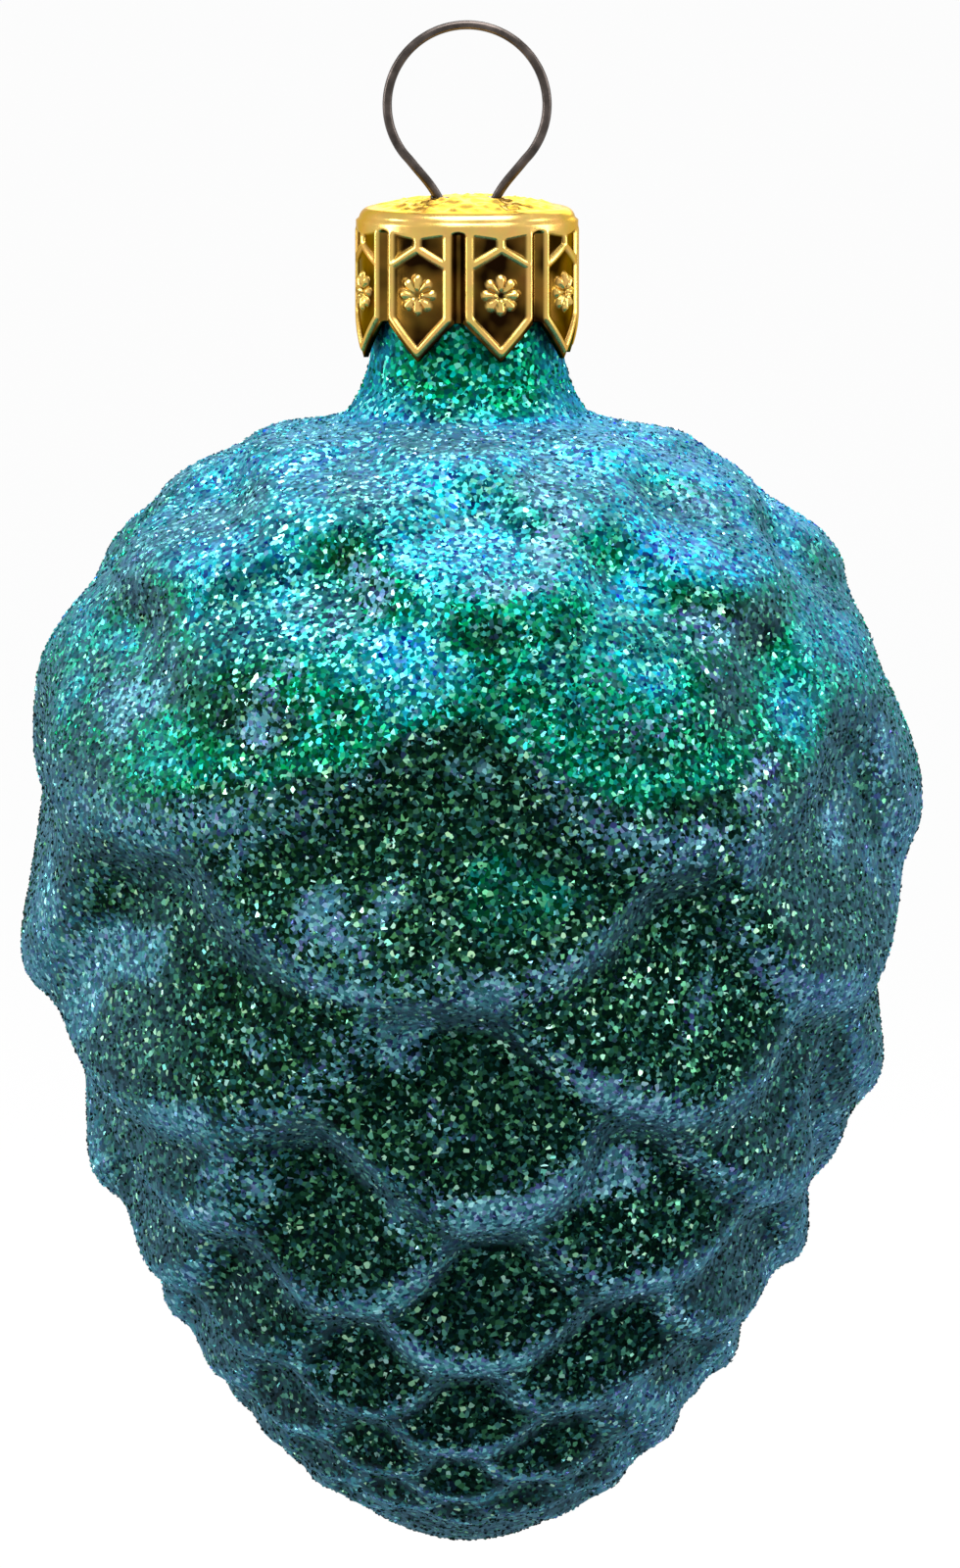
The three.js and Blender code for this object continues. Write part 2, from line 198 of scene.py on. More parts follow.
def glass_rings(wall, step, neck_count, share):
    """Rings of radius, height, distance from the tip and share of relief, from the lip down."""
    rings = []
    for i in range(neck_count):
        z = NECK_TOP + (NECK_FOOT - NECK_TOP) * i / neck_count
        t = min(max((z - FLARE_TOP) / (NECK_FOOT - FLARE_TOP), 0), 1)
        radius = NECK_R + NECK_FLARE * t ** FLARE_POWER - wall
        rings.append((radius, z - wall * t, OUTLINE_LENGTH, 0))
    due = 0.0
    for (point, along), distance in zip(trace, run):
        if distance >= due and point.x > POLE_R:
            due = distance + step
            rings.append((point.x + wall * along.y, point.y - wall * along.x,
                          OUTLINE_LENGTH - distance, share))
    return rings


# Down the outside from the lip, then up the inside, so that the lip joins the two
outside = glass_rings(0, RING_STEP, NECK_RINGS, 1)
inside = glass_rings(GLASS_WALL, INSIDE_STEP, INSIDE_NECK_RINGS, INSIDE_SHARE)[::-1]
rings = outside + inside
points, faces, from_tip, relief_share = [], [], [], []
outer = [1.0] * (len(outside) * AROUND) + [0.0] * (len(inside) * AROUND) + [1.0, 0.0]
for radius, z, distance, share in rings:
    for i in range(AROUND):
        a = tau * i / AROUND
        points.append((radius * sin(a) * MM, -radius * cos(a) * MM, z * MM))
    from_tip += [distance] * AROUND
    relief_share += [share] * AROUND
tip_ring = len(outside) - 1
for k in range(len(rings)):
    if k != tip_ring:
        a, b = k * AROUND, (k + 1) % len(rings) * AROUND
        for i in range(AROUND):
            j = (i + 1) % AROUND
            faces.append((a + i, b + i, b + j, a + j))
for k, z in ((tip_ring, TIP_Z), (tip_ring + 1, TIP_Z + GLASS_WALL)):
    points.append((0, 0, z * MM))
    from_tip.append(0)
    relief_share.append(0)
    for i in range(AROUND):
        pair = (k * AROUND + i, k * AROUND + (i + 1) % AROUND)
        faces.append((len(points) - 1,) + (pair[::-1] if k == tip_ring else pair))
smooth_glass = bpy.data.meshes.new("smooth glass")
smooth_glass.from_pydata(points, [], faces)
for name, values in (("from_tip", from_tip), ("relief_share", relief_share),
                     ("outer", outer)):
    smooth_glass.attributes.new(name, "FLOAT", "POINT").data.foreach_set("value", values)

# The scales: each row is a ring of tongues that point at the tip and overlap the row below as
# roof tiles do. Sizes are in millimetres along the outline, counted from the tip.
# Upper rows: rim, rise, share of the length that its rounded face takes, scales in the row, and
# turn in shares of a scale
UPPER_ROWS = [(75.0, 2.6, 0.7, 7, 0), (70.0, 3.2, 0.7, 7, 0.5), (64.5, 3.8, 0.7, 7, 0),
              (57.5, 3.4, 0.7, 7, 0.5), (50.2, 4.6, 0.5, 5, 0.5), (41.9, 5.2, 0.34, 5, 0),
              (34.9, 5.2, 0.34, 5, 0.5)]
LOW_RIM, RIM_RATIO, LOW_SCALES, LOW_ROWS = 29.1, 0.834, 7, 9
RISE_SLOPE = 0.17  # rise of the lower rows, per millimetre from the tip
FIRST_LENGTH = 10.4  # of the scales in the two highest rows
LOW_ROLL = 0.4  # share of a lower scale's length that its rounded face takes
SIDE_ROUND = 0.75  # power of the roundness across a scale
HALF_WIDTH = 0.56  # of the row's pitch
RIM_CURVE = (0.45, 0.7)  # how far a rim's sides run up, at the square and fourth power
BACK_FALL = 1.6  # power of the fall of a scale's back
# The pale band at a rim, painted sheen where the rim turns away, in shares of its rounded face:
# where it is full, where it begins to fade and where it is gone. Then its weight at the very
# edge, and the power of its fade to the sides
BAND_FULL, BAND_FADES, BAND_GONE = 0.3, 0.4, 0.8
BAND_EDGE, BAND_ROUND = 0.3, 1.5
LEAN_FROM = (29, 38)  # where the lean at the sides changes from the lower rows' to the upper's
WANDER_WAVE, TWIST_WAVE = 9, 6  # millimetres for each radian of the mould's unevenness
FILLED = (26, 62)  # where the grooves begin to be filled, and where they are most
LEAST_FILL = 0.12  # weight of the filling near the tip
NECK_FADE, TIP_FADE = (0.0, 6.0), (1.0, 5.0)  # from the neck and the tip: the relief sets in
STEEP = (0.92, 0.7)  # cosines between which a rim's face counts as steep
STEEP_SHEEN = 0.3  # how much painted sheen such a face gets
BLEND = 4.5  # the rows and tongues join as a softened maximum of this power
NUMBER, SHAPE = "NodeSocketFloat", "NodeSocketGeometry"
MATH, MAP = "ShaderNodeMath", "ShaderNodeMapRange"


def new_tree(name, inputs, outputs):
    """A geometry node tree with named inputs and outputs, and the sockets of its inputs."""
    tree = bpy.data.node_groups.new(name, "GeometryNodeTree")
    for direction, sockets in (("INPUT", inputs), ("OUTPUT", outputs)):
        for title, kind in sockets:
            tree.interface.new_socket(title, in_out=direction, socket_type=kind)
    return tree, add(tree, "NodeGroupInput").outputs


def grow(name, source, tree, **sizes):
    """A plain mesh object made by running a source object through a tree with these sizes."""
    modifier = source.modifiers.new(name, "NODES")
    modifier.node_group = tree
    for socket in tree.interface.items_tree:
        if socket.in_out == "INPUT" and socket.name in sizes:
            modifier[socket.identifier] = sizes[socket.name]
    depsgraph = bpy.context.evaluated_depsgraph_get()
    mesh = bpy.data.meshes.new_from_object(source.evaluated_get(depsgraph),
                                           preserve_all_data_layers=True, depsgraph=depsgraph)
    source.modifiers.remove(modifier)
    bpy.data.objects.remove(source)
    piece = bpy.data.objects.new(name, mesh)
    scene.collection.objects.link(piece)
    return piece


# Height of one tongue as a share of its rise: a rim rounded like a quarter of an ellipse, a
# back that runs down into the body, and sides that round off and curve up and away
tongue, given = new_tree("tongue", [("Across", NUMBER), ("Up", NUMBER), ("Roll", NUMBER)],
                        [("Height", NUMBER), ("Rim", NUMBER)])
squared = add(tongue, MATH, given["Across"], given["Across"], operation="MULTIPLY")
bend = add(tongue, MATH, squared, RIM_CURVE[1], RIM_CURVE[0], operation="MULTIPLY_ADD")
edge = add(tongue, MATH, squared, bend, operation="MULTIPLY")
t = add(tongue, MATH, given["Up"], edge, operation="SUBTRACT")
share = add(tongue, MATH, t, given["Roll"], operation="DIVIDE", use_clamp=True)
short = add(tongue, MATH, 1.0, share, operation="SUBTRACT")
rim = add(tongue, MATH, add(tongue, MATH, 1.0, add(
    tongue, MATH, short, short, operation="MULTIPLY"), operation="SUBTRACT"), operation="SQRT")
left = add(tongue, MATH, 1.0, t, operation="SUBTRACT", use_clamp=True)
back = add(tongue, MATH, left, BACK_FALL, operation="POWER")
face = add(tongue, MATH, rim, back, operation="MULTIPLY")
flat = add(tongue, MATH, 1.0, squared, operation="SUBTRACT", use_clamp=True)
sides = add(tongue, MATH, flat, SIDE_ROUND, operation="POWER")
over_crest = add(tongue, MAP, share, BAND_GONE, BAND_FADES, interpolation_type="SMOOTHSTEP")
under_crest = add(tongue, MAP, share, 0.0, BAND_FULL, BAND_EDGE, 1.0,
                  interpolation_type="SMOOTHSTEP")
near_rim = add(tongue, MATH, over_crest, under_crest, operation="MULTIPLY")
mid_rim = add(tongue, MATH, flat, BAND_ROUND, operation="POWER")
near_rim = add(tongue, MATH, near_rim, mid_rim, operation="MULTIPLY")
add(tongue, "NodeGroupOutput", add(tongue, MATH, face, sides, operation="MULTIPLY"), near_rim)

# One row: the nearest tongue and its neighbour join the rows before it
row, given = new_tree("row of scales", [
    ("Sum", NUMBER), ("Rim Sum", NUMBER), ("From Tip", NUMBER), ("Turns", NUMBER), ("Rim", NUMBER),
    ("Length", NUMBER), ("Rise", NUMBER), ("Scales", NUMBER), ("Shift", NUMBER),
    ("Half Width", NUMBER), ("Roll", NUMBER)], [("Sum", NUMBER), ("Rim Sum", NUMBER)])
count = add(row, MATH, given["Turns"], given["Scales"], operation="MULTIPLY")
place = add(row, MATH, count, given["Shift"], operation="SUBTRACT")
nearest = add(row, MATH, place, operation="ROUND")
away = add(row, MATH, add(row, MATH, place, nearest, operation="SUBTRACT"),
           operation="ABSOLUTE")
above = add(row, MATH, given["From Tip"], given["Rim"], operation="SUBTRACT")
up = add(row, MATH, above, given["Length"], operation="DIVIDE")
total, rim_total = given["Sum"], given["Rim Sum"]
for distance in (away, add(row, MATH, 1.0, away, operation="SUBTRACT")):
    across = add(row, MATH, distance, given["Half Width"], operation="DIVIDE")
    one = add(row, "GeometryNodeGroup", node_tree=tongue,
              named={"Across": across, "Up": up, "Roll": given["Roll"]})
    raised = add(row, MATH, one, given["Rise"], operation="MULTIPLY")
    power = add(row, MATH, raised, BLEND, operation="POWER")
    total = add(row, MATH, total, power, operation="ADD")
    rim_total = add(row, MATH, power, one.outputs["Rim"], rim_total, operation="MULTIPLY_ADD")
add(row, "NodeGroupOutput", total, rim_total)

relief, given = new_tree("blown scales", [
    ("Geometry", SHAPE), ("Outline Length", NUMBER), ("Half Width", NUMBER), ("Wander", NUMBER),
    ("Twist", NUMBER), ("Lean", NUMBER), ("Low Lean", NUMBER), ("Softness", "NodeSocketInt"),
    ("Material", "NodeSocketMaterial")], [("Geometry", SHAPE)])
where = add(relief, "GeometryNodeInputPosition")
axes = add(relief, "ShaderNodeSeparateXYZ", where)
front = add(relief, MATH, axes.outputs["Y"], -1.0, operation="MULTIPLY")
angle = add(relief, MATH, axes.outputs["X"], front, operation="ARCTAN2")
true_distance = add(relief, "GeometryNodeInputNamedAttribute", "from_tip", data_type="FLOAT")
# Hand-cut moulds are never quite even: the rims wander along the body and round it
phase = add(relief, MATH, add(relief, MATH, angle, 2.0, operation="MULTIPLY"),
            add(relief, MATH, true_distance, 1 / WANDER_WAVE, operation="MULTIPLY"),
            operation="ADD")
wave = add(relief, MATH, phase, operation="SINE")
distance = add(relief, MATH, wave, given["Wander"], true_distance, operation="MULTIPLY_ADD")
swing = add(relief, MATH, add(relief, MATH, true_distance, 1 / TWIST_WAVE,
                              operation="MULTIPLY"), operation="SINE")
twisted = add(relief, MATH, swing, given["Twist"], angle, operation="MULTIPLY_ADD")
# The scales lean most at the sides, where the rows then reach the outline in turn
sideways = add(relief, MATH, angle, operation="SINE")
sideways = add(relief, MATH, sideways, sideways, operation="MULTIPLY")
held = add(relief, MAP, true_distance, LEAN_FROM[0], LEAN_FROM[1], given["Low Lean"],
           given["Lean"], interpolation_type="SMOOTHSTEP")
turned = add(relief, MATH, sideways, held, twisted, operation="MULTIPLY_ADD")
turns = add(relief, MATH, turned, 1 / tau, operation="MULTIPLY")
rows = UPPER_ROWS + [(LOW_RIM * RIM_RATIO ** i, RISE_SLOPE * LOW_RIM * RIM_RATIO ** i,
                      LOW_ROLL, LOW_SCALES, 0.5 * (i % 2)) for i in range(LOW_ROWS)]
total = rim_total = 0.0
for i, (at, rise, roll, scales, turn) in enumerate(rows):
    one = add(relief, "GeometryNodeGroup", node_tree=row, named={
        "Sum": total, "Rim Sum": rim_total, "From Tip": distance, "Turns": turns, "Rim": at,
        "Length": FIRST_LENGTH if i < 2 else rows[i - 2][0] - at,
        "Rise": rise, "Scales": float(scales), "Shift": turn,
        "Half Width": given["Half Width"], "Roll": roll})
    total, rim_total = one.outputs["Sum"], one.outputs["Rim Sum"]
height = add(relief, MATH, total, 1 / BLEND, operation="POWER")
# Thick glass fills the grooves of the mould: most on the shoulder, hardly near the tip
filled = add(relief, MAP, true_distance, FILLED[0], FILLED[1], LEAST_FILL, 1.0)
height = add(relief, "GeometryNodeBlurAttribute", data_type="FLOAT", named={
    "Value": height, "Iterations": given["Softness"], "Weight": filled})
above_zero = add(relief, MATH, total, 1e-9, operation="ADD")
rim_share = add(relief, MATH, rim_total, above_zero, operation="DIVIDE")
to_neck = add(relief, MATH, given["Outline Length"], true_distance, operation="SUBTRACT")
for nearness, fade_range in ((to_neck, NECK_FADE), (true_distance, TIP_FADE)):
    fade = add(relief, MAP, nearness, *fade_range, interpolation_type="SMOOTHSTEP")
    height = add(relief, MATH, height, fade, operation="MULTIPLY")
keep = add(relief, "GeometryNodeInputNamedAttribute", "relief_share", data_type="FLOAT")
out = add(relief, MATH, add(relief, MATH, height, keep, operation="MULTIPLY"), MM,
          operation="MULTIPLY")
normal = add(relief, "GeometryNodeInputNormal")
shift = add(relief, "ShaderNodeVectorMath", normal, named={"Scale": out}, operation="SCALE")
# The normal before the scales is kept, so that the steep faces of the rims can be told apart
# and given painted sheen
before = add(relief, "GeometryNodeStoreNamedAttribute", given["Geometry"],
             named={"Name": "smooth_normal", "Value": normal},
             data_type="FLOAT_VECTOR", domain="POINT")
marked = add(relief, "GeometryNodeSetPosition", before, named={"Offset": shift})
kept = add(relief, "GeometryNodeInputNamedAttribute", "smooth_normal", data_type="FLOAT_VECTOR")
agree = add(relief, "ShaderNodeVectorMath", normal, kept, operation="DOT_PRODUCT")
steep = add(relief, MAP, agree.outputs["Value"], *STEEP, 0.0, STEEP_SHEEN)
facing = add(relief, "ShaderNodeSeparateXYZ", normal)
for name, value in (("steep", steep), ("upward", facing.outputs["Z"]), ("rim", rim_share)):
    marked = add(relief, "GeometryNodeStoreNamedAttribute", marked,
                 named={"Name": name, "Value": value}, data_type="FLOAT", domain="POINT")
smooth = add(relief, "GeometryNodeSetShadeSmooth", marked)
whole = add(relief, "GeometryNodeRealizeInstances", smooth)
add(relief, "NodeGroupOutput", add(relief, "GeometryNodeSetMaterial", whole,
                                   named={"Material": given["Material"]}))

# Cut-foil glitter. Every grain is a tiny mirror at its own tilt, so most look dark and a few
# flash. Light and shade are painted into the foil's colour: teal where it faces up, emerald below
# that and near-black green in the dishes of the scales. A pale band of painted sheen and dust
# greys the rims, and dust greys the level shoulder.
GRAIN = 0.26 * MM  # of the close coat, about twice the real size, so that the grains show
PATCH = 7 * MM  # width of the drifts
FOIL_SHADES = {
    "green": [(0, "#010B06"), (0.45, "#051B10"), (0.72, "#173828"), (0.88, "#336349"),
              (0.96, "#64A685"), (1, "#B4E2C2")],
    "emerald": [(0, "#012D1E"), (0.4, "#045238"), (0.7, "#127A5A"), (0.9, "#36AC90"),
                (1, "#78D8C0")],
    "teal": [(0, "#14688A"), (0.4, "#2F8CAC"), (0.7, "#54AAC6"), (0.88, "#74C2D8"),
             (1, "#98DEEC")],
    # Pale grey-blue of the dust, and of the sheen painted on the rims
    "pale_dust_and_sheen": [(0, "#27525E"), (0.45, "#467484"), (0.75, "#6294A4"), (0.92, "#7CAEC0"),
              (1, "#9ECCDC")],
}
FOIL_EDGE = "#5E9AA8"  # the foil's gloss at a glancing angle
# Heights between which the coat changes
NECK_GREEN = (-28 * MM, -24 * MM)
# Painted shade: lower on the body the foil is painted darker between these heights
LOWER_PAINTED_SHADE = (-38 * MM, -56 * MM)
# Painted shade: darkest near the tip, between these heights
TIP_PAINTED_SHADE = (-55 * MM, -76 * MM)
# Painted sheen on the rims: fuller lower on the body, between these heights
RIM_SHEEN_GROWS = (-40 * MM, -56 * MM)
# The dust and the painted sheen end between these heights
DUST_AND_SHEEN_END = (-22.8 * MM, -21.4 * MM)
NECK_CLEAN = (-23.5 * MM, -21.4 * MM)
# Across the body, from the left to the right, the foil turns a little bluer
BLUER = (-6 * MM, 24 * MM)


def foil_colour(tree, place, pick):
    """Foil colour with painted light and shade, from the shape below a grain and the grain's own
    three random numbers.
    """
    ramp = {shade: add(tree, "ShaderNodeValToRGB", pick.outputs["Red"], stops=stops)
            .outputs["Color"] for shade, stops in FOIL_SHADES.items()}
    patch = add(tree, "ShaderNodeTexNoise", named={"Vector": place, "Scale": 1 / PATCH,
                                                   "Detail": 2.0})
    patches = add(tree, "ShaderNodeSeparateColor", patch.outputs["Color"])
    upward = add(tree, "ShaderNodeAttribute", attribute_name="upward").outputs["Fac"]
    axis = add(tree, "ShaderNodeSeparateXYZ", place)
    level = axis.outputs["Z"]
    # Painted light: where the surface faces up the foil is painted lighter, from green to emerald
    # to teal
    drift = add(tree, MAP, patch, 0.35, 0.65, -0.2, 0.2)
    painted_top_light = add(tree, MATH, upward, drift, operation="ADD")
    # Painted shade: lower on the body the foil is painted darker
    painted_lower_shade = add(tree, MAP, level, *LOWER_PAINTED_SHADE, 0.0, -0.3)
    painted_top_light = add(tree, MATH, painted_top_light, painted_lower_shade, operation="ADD")
    neck = add(tree, MAP, level, *NECK_GREEN)
    to_emerald = add(tree, MATH, add(tree, MAP, painted_top_light, 0.12, 0.42), neck,
                     operation="MAXIMUM")
    to_teal = add(tree, MAP, painted_top_light, 0.4, 0.9)
    # The coat is thin in places, and the dark lacquer shows between the grains
    thin = add(tree, MAP, patches.outputs["Green"], 0.38, 0.47, 0.35, 1.0)
    body = ramp["green"]
    for amount, shade in ((to_emerald, "emerald"), (to_teal, "teal")):
        covered = add(tree, MATH, amount, thin, operation="MULTIPLY")
        body = add(tree, "ShaderNodeMix", data_type="RGBA", named={
            "Factor": covered, "A": body, "B": ramp[shade]}).outputs["Result"]
    # The dishes near the tip are painted darkest, as painted shade, and a little bluer
    dim = add(tree, MAP, level, *TIP_PAINTED_SHADE, 1.0, 0.62)
    shifted = add(tree, MAP, level, *TIP_PAINTED_SHADE, 0.5, 0.525)
    body = add(tree, "ShaderNodeHueSaturation", named={
        "Hue": shifted, "Value": dim, "Color": body})
    # Painted sheen: a pale band is painted on the rims and steep faces that face down, fuller
    # lower on the body, and broken up at random in places
    steep = add(tree, "ShaderNodeAttribute", attribute_name="steep").outputs["Fac"]
    rim = add(tree, "ShaderNodeAttribute", attribute_name="rim").outputs["Fac"]
    dust_and_sheen = add(tree, MATH, steep, rim, operation="MAXIMUM")
    low = add(tree, MAP, level, *RIM_SHEEN_GROWS, 0.35, 1.0)
    worn = add(tree, MAP, patches.outputs["Blue"], 0.38, 0.56, 0.45, 1.15)
    below = add(tree, MAP, upward, 0.5, 0.1)
    for factor in (low, worn):
        dust_and_sheen = add(tree, MATH, dust_and_sheen, factor, operation="MULTIPLY")
    dust_and_sheen = add(tree, MATH, dust_and_sheen, below, operation="MULTIPLY", use_clamp=True)
    # Dry glitter lies in pale drifts on the shoulder too, most where it is nearly level
    for lying in (add(tree, MAP, patch, 0.44, 0.34, 0.0, 0.7),
                  add(tree, MAP, upward, 0.84, 0.97, 0.0, 0.65)):
        dust_and_sheen = add(tree, MATH, dust_and_sheen, lying, operation="MAXIMUM")
    dust_and_sheen_fade = add(tree, MAP, level, *DUST_AND_SHEEN_END, 1.0, 0.0)
    dust_and_sheen = add(tree, MATH, dust_and_sheen, dust_and_sheen_fade, operation="MULTIPLY")
    # A grain is either pale or clean, so the painted sheen and the dust drifts fray out at their
    # edges
    chance = add(tree, MATH, pick.outputs["Blue"], -0.8, dust_and_sheen, operation="MULTIPLY_ADD")
    dust_and_sheen_share = add(tree, MAP, chance, -0.1, 0.25)
    colour = add(tree, "ShaderNodeMix", data_type="RGBA", named={
        "Factor": dust_and_sheen_share, "A": body, "B": ramp["pale_dust_and_sheen"]})
    # The foil's own colour shifts a little from grain to grain, from leaf green to violet blue
    bluer = add(tree, MATH, pick.outputs["Green"], 2.0, operation="POWER")
    side = add(tree, MAP, axis.outputs["X"], *BLUER, 0.46, 0.485)
    hue = add(tree, MATH, bluer, 0.135, side, operation="MULTIPLY_ADD")
    return add(tree, "ShaderNodeHueSaturation", named={
        "Hue": hue, "Saturation": 1.05, "Color": colour.outputs["Result"]})


coat, nodes = new_material("colour-shift glitter on lacquered glass")
where = add(nodes, "ShaderNodeTexCoord").outputs["Object"]
grain = add(nodes, "ShaderNodeTexVoronoi", named={"Vector": where, "Scale": 1 / GRAIN})
pick = add(nodes, "ShaderNodeSeparateColor", grain.outputs["Color"])
askew = add(nodes, "ShaderNodeVectorMath", grain.outputs["Color"], (0.5, 0.5, 0.5),
            operation="SUBTRACT")
straight = add(nodes, "ShaderNodeNewGeometry").outputs["Normal"]
tilted = add(nodes, "ShaderNodeVectorMath", add(
    nodes, "ShaderNodeVectorMath", straight, askew, operation="ADD"), operation="NORMALIZE")
foil = add(nodes, "ShaderNodeBsdfPrincipled", named={
    "Base Color": foil_colour(nodes, where, pick), "Metallic": 0.9, "Roughness": 0.4,
    "Normal": tilted, "Specular Tint": linear(FOIL_EDGE)})
# Seen along the surface the upright edges of the grains give a soft gloss: grey-blue where dust
# lies, clear blue on the clean neck
height = add(nodes, "ShaderNodeSeparateXYZ", where)
clean = add(nodes, MAP, height.outputs["Z"], *NECK_CLEAN)
bloom_colour = add(nodes, "ShaderNodeMix", data_type="RGBA", named={
    "Factor": clean, "A": linear("#5E8CA2"), "B": linear("#2496C8")})
bloom = add(nodes, "ShaderNodeBsdfAnisotropic", bloom_colour.outputs["Result"], 0.6)
grazing = add(nodes, "ShaderNodeLayerWeight", 0.5)
bloom_share = add(nodes, MAP, grazing.outputs["Facing"], 0.24, 0.85, 0.0, 0.68)
speckle = add(nodes, MAP, pick.outputs["Blue"], 0.2, 0.8, 0.25, 1.0)
bloom_share = add(nodes, MATH, bloom_share, speckle, operation="MULTIPLY")
add(nodes, "ShaderNodeOutputMaterial",
    add(nodes, "ShaderNodeMixShader", bloom_share, foil, bloom))
glass_source = bpy.data.objects.new("glass source", smooth_glass)
scene.collection.objects.link(glass_source)
glass = grow("blown_glass_cone", glass_source, relief,
             **{"Outline Length": OUTLINE_LENGTH, "Half Width": HALF_WIDTH,
                "Wander": 0.8, "Twist": radians(4), "Lean": radians(14),
                "Low Lean": radians(-7), "Softness": 11, "Material": coat})
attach(glass, "cone")
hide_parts("glass_cone")

# ---- Loose grains -------------------------------------------------------------------------
# The coarsest grains of the glitter stand out of the coat at all angles. They break up the
# outline and catch the light. Below the cap's points only, so that the cap slides off freely.
GRAINS_PER_AREA = 3.6e6  # for each square metre
LOOSE_R, LOOSE_HEIGHT = 0.17 * MM, 0.09 * MM
LOOSE_TILT = 0.55  # radians each way
LOOSE_SIZES = (0.6, 1.2)
GRAINS_END = -19.6 * MM
GRAIN_SEED = 7
scatter, given = new_tree("scattered grains", [
    ("Geometry", SHAPE), ("Per Square Metre", NUMBER), ("Grain Radius", NUMBER),
    ("Grain Height", NUMBER), ("Highest", NUMBER), ("Seed", "NodeSocketInt"),
    ("Material", "NodeSocketMaterial")], [("Geometry", SHAPE)])
on_outside = add(scatter, "GeometryNodeInputNamedAttribute", "outer", data_type="FLOAT")
height = add(scatter, "ShaderNodeSeparateXYZ", add(scatter, "GeometryNodeInputPosition"))
low_enough = add(scatter, MATH, height.outputs["Z"], given["Highest"], operation="LESS_THAN")
chosen = add(scatter, MATH, on_outside, low_enough, operation="MULTIPLY")
spread = add(scatter, "GeometryNodeDistributePointsOnFaces", given["Geometry"], named={
    "Selection": chosen, "Density": given["Per Square Metre"], "Seed": given["Seed"]})
turn = add(scatter, "FunctionNodeRandomValue", data_type="FLOAT_VECTOR", named={
    0: (-LOOSE_TILT, -LOOSE_TILT, 0.0), 1: (LOOSE_TILT, LOOSE_TILT, tau),
    "Seed": given["Seed"]})
turned = add(scatter, "FunctionNodeRotateRotation", spread.outputs["Rotation"],
             turn.outputs[0], rotation_space="LOCAL")
size = add(scatter, "FunctionNodeRandomValue", named={
    2: LOOSE_SIZES[0], 3: LOOSE_SIZES[1],
    "Seed": add(scatter, MATH, given["Seed"], 1.0, operation="ADD")})
crystal = add(scatter, "GeometryNodeMeshCone", 3, named={
    "Radius Bottom": given["Grain Radius"], "Depth": given["Grain Height"]})
grains = add(scatter, "GeometryNodeInstanceOnPoints", spread, named={
    "Instance": crystal, "Rotation": turned, "Scale": size.outputs[1]})
luck = add(scatter, "FunctionNodeRandomValue", data_type="FLOAT_VECTOR", named={
    0: (0.0, 0.0, 0.0), 1: (1.0, 1.0, 1.0),
    "Seed": add(scatter, MATH, given["Seed"], 2.0, operation="ADD")})
named_grains = add(scatter, "GeometryNodeStoreNamedAttribute", grains, named={
    "Name": "luck", "Value": luck.outputs[0]}, data_type="FLOAT_VECTOR", domain="INSTANCE")
real = add(scatter, "GeometryNodeRealizeInstances", named_grains)
add(scatter, "NodeGroupOutput", add(scatter, "GeometryNodeSetMaterial", real,
                                    named={"Material": given["Material"]}))

# Bare cut foil: the same colours as the coat, painted light and shade included, with a harder
# shine. Each grain keeps one colour
cut_foil, nodes = new_material("cut foil grains")
where = add(nodes, "ShaderNodeTexCoord").outputs["Object"]
luck = add(nodes, "ShaderNodeAttribute", attribute_name="luck")
pick = add(nodes, "ShaderNodeSeparateColor", luck.outputs["Vector"])
add(nodes, "ShaderNodeOutputMaterial", add(nodes, "ShaderNodeBsdfPrincipled", named={
    "Base Color": foil_colour(nodes, where, pick), "Metallic": 0.9, "Roughness": 0.3,
    "Specular Tint": linear(FOIL_EDGE)}))
grain_source = bpy.data.objects.new("grain source", glass.data)
scene.collection.objects.link(grain_source)
grains = grow("loose_glitter_grains", grain_source, scatter, **{
    "Per Square Metre": GRAINS_PER_AREA, "Grain Radius": LOOSE_R, "Grain Height": LOOSE_HEIGHT,
    "Highest": GRAINS_END, "Seed": GRAIN_SEED, "Material": cut_foil})
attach(grains, "cone")

# ---- Crown cap ----------------------------------------------------------------------------
# Thin gilt brass sheet, stamped to a pebbled disc with eight pointed panels folded down over
# the neck. Each panel carries a raised hexagon with a stem and a small rosette. The wire
# passes through two holes in the disc.
CAP_TOP, DOME_RISE, DISC_R, CAP_R, BRIM_DROP = -9.7, 0.6, 5.6, 6.32, 0.75
CAP_SHEET = 0.3
PANELS, PANEL_TURN = 8, radians(18)
# Drops are measured down the panel from the disc's edge
PANEL_POINT, PANEL_VALLEY = 8.65, 6.4
PANEL_HALF = pi * CAP_R / PANELS
VALLEY_SIDE = 0.88 * PANEL_HALF
GROOVE_DEPTH, GROOVE_SIDES = 0.3, (0.84 * PANEL_HALF, 0.98 * PANEL_HALF)
FRAME_RISE, FRAME_SLOPE = 0.2, (0.31, 0.06)  # the raised line falls away between these
FRAME_SIDE = 0.74 * PANEL_HALF
GABLE_TOP, GABLE_FOOT, POINT_INSET = 2.05, 3.1, 0.55
ROSETTE_DROP, ROSETTE_R, PETALS, PETAL_RISE = 4.75, 1.25, 8, 0.28
PETAL_POWER, PETAL_NOTCH, PETAL_ROUND = 1.1, 0.16, 0.3
ROSETTE_EYE = (0.12, 0.42)  # the petals rise between these radii
BRIM_BULGE, BRIM_EDGE, BRIM_ZIGZAG = 0.16, 0.35, 0.4
BRIM_STEP = (-0.1, 0.15)  # the step down from the brim, about its edge
PEBBLE_SIZE, PEBBLE_HEIGHT = 0.75, 0.36
PEBBLE_LEVEL = 0.45  # the texture's distance at which a pebble meets the disc
HOLE_X, HOLE_R, DRILL_Z, DRILL_LENGTH = 1.62, 0.5, -10, 3
